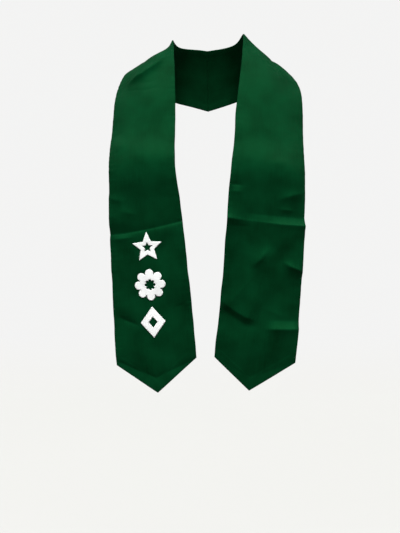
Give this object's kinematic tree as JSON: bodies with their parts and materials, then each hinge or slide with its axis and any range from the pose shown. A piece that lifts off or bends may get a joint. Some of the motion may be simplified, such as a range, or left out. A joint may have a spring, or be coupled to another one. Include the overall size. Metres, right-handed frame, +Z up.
{
  "type": "graduation stole",
  "caption": "Satin graduation stole in its worn form: two strips joined at the centre back, round the neck and down the front to pointed ends, with twill appliques.",
  "frame": {"origin": "on the neck's axis, at the height where the shoulders begin", "axes": "+Z up, -Y the wearer's front, +X to the right of a viewer who faces the front"},
  "size_m": [0.3754, 0.2365, 0.7009],
  "materials": {
    "satin": "deep green polyester satin with a soft sheen",
    "twill": "white polyester twill, matt"
  },
  "bodies": {
    "root": {"left_half": "satin", "right_half": "satin", "star_applique": "twill", "rosette_applique": "twill", "lozenge_applique": "twill"}
  },
  "joints": []
}
